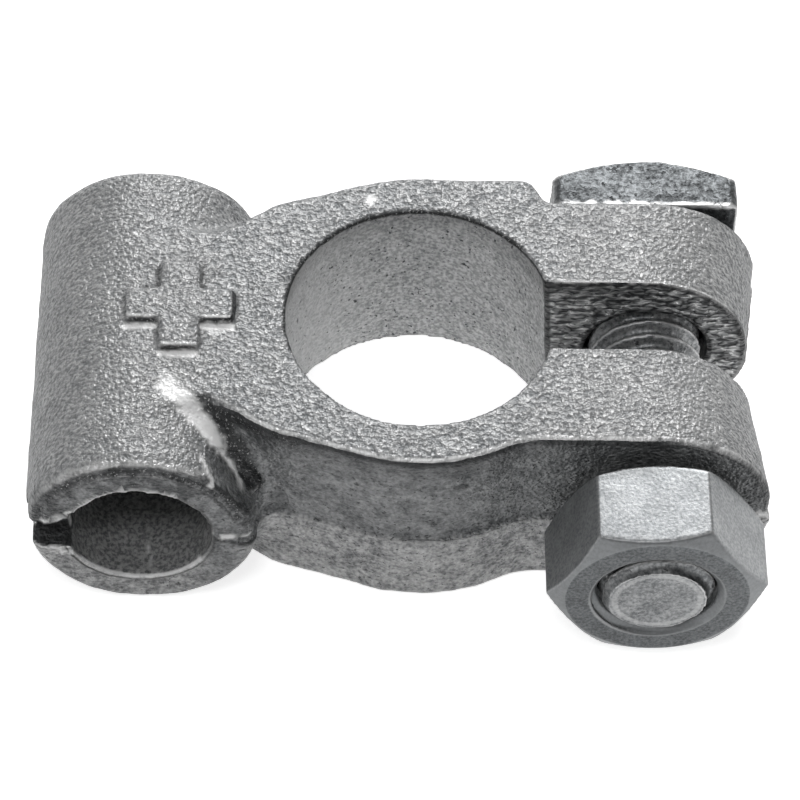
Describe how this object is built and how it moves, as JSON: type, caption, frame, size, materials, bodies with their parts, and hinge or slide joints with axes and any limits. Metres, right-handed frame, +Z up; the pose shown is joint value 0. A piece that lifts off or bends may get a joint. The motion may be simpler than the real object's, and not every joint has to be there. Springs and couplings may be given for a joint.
{
  "type": "battery terminal clamp",
  "caption": "Cast split-ring clamp for a tapered battery post, with a cable barrel beside the ring and a square-headed bolt and hexagon nut that draw the ears together.",
  "frame": {"origin": "on the axis of the tapered post bore, at the clamp's underside", "axes": "+Z up along the battery post, +X from the post to the clamping bolt, +Y from the nut to the bolt's head"},
  "size_m": [0.051, 0.0333, 0.0161],
  "materials": {
    "casting": "rough as cast, tin plated grey",
    "bolt_steel": "zinc plated, forged head",
    "nut_steel": "zinc plated, smooth faces"
  },
  "bodies": {
    "clamp_body": {"clamp_body": "casting"},
    "clamp_bolt": {"clamp_bolt": "bolt_steel"},
    "hex_nut": {"hex_nut": "nut_steel"}
  },
  "joints": [
    {"name": "nut_turn", "type": "hinge", "parent": "clamp_body", "child": "hex_nut", "pos_m": [0.0161, -0.01455, 0.00775], "axis": [0, -1, 0], "range_deg": [-187.2, 1526.4]},
    {"name": "bolt_slide", "type": "slide", "parent": "clamp_body", "child": "clamp_bolt", "axis": [0, 1, 0], "range_m": [-0.00055, 0.005]}
  ],
  "couplings": [
    {"joint": "nut_turn", "follows": "bolt_slide", "rad_per_m": 5026.5}
  ]
}
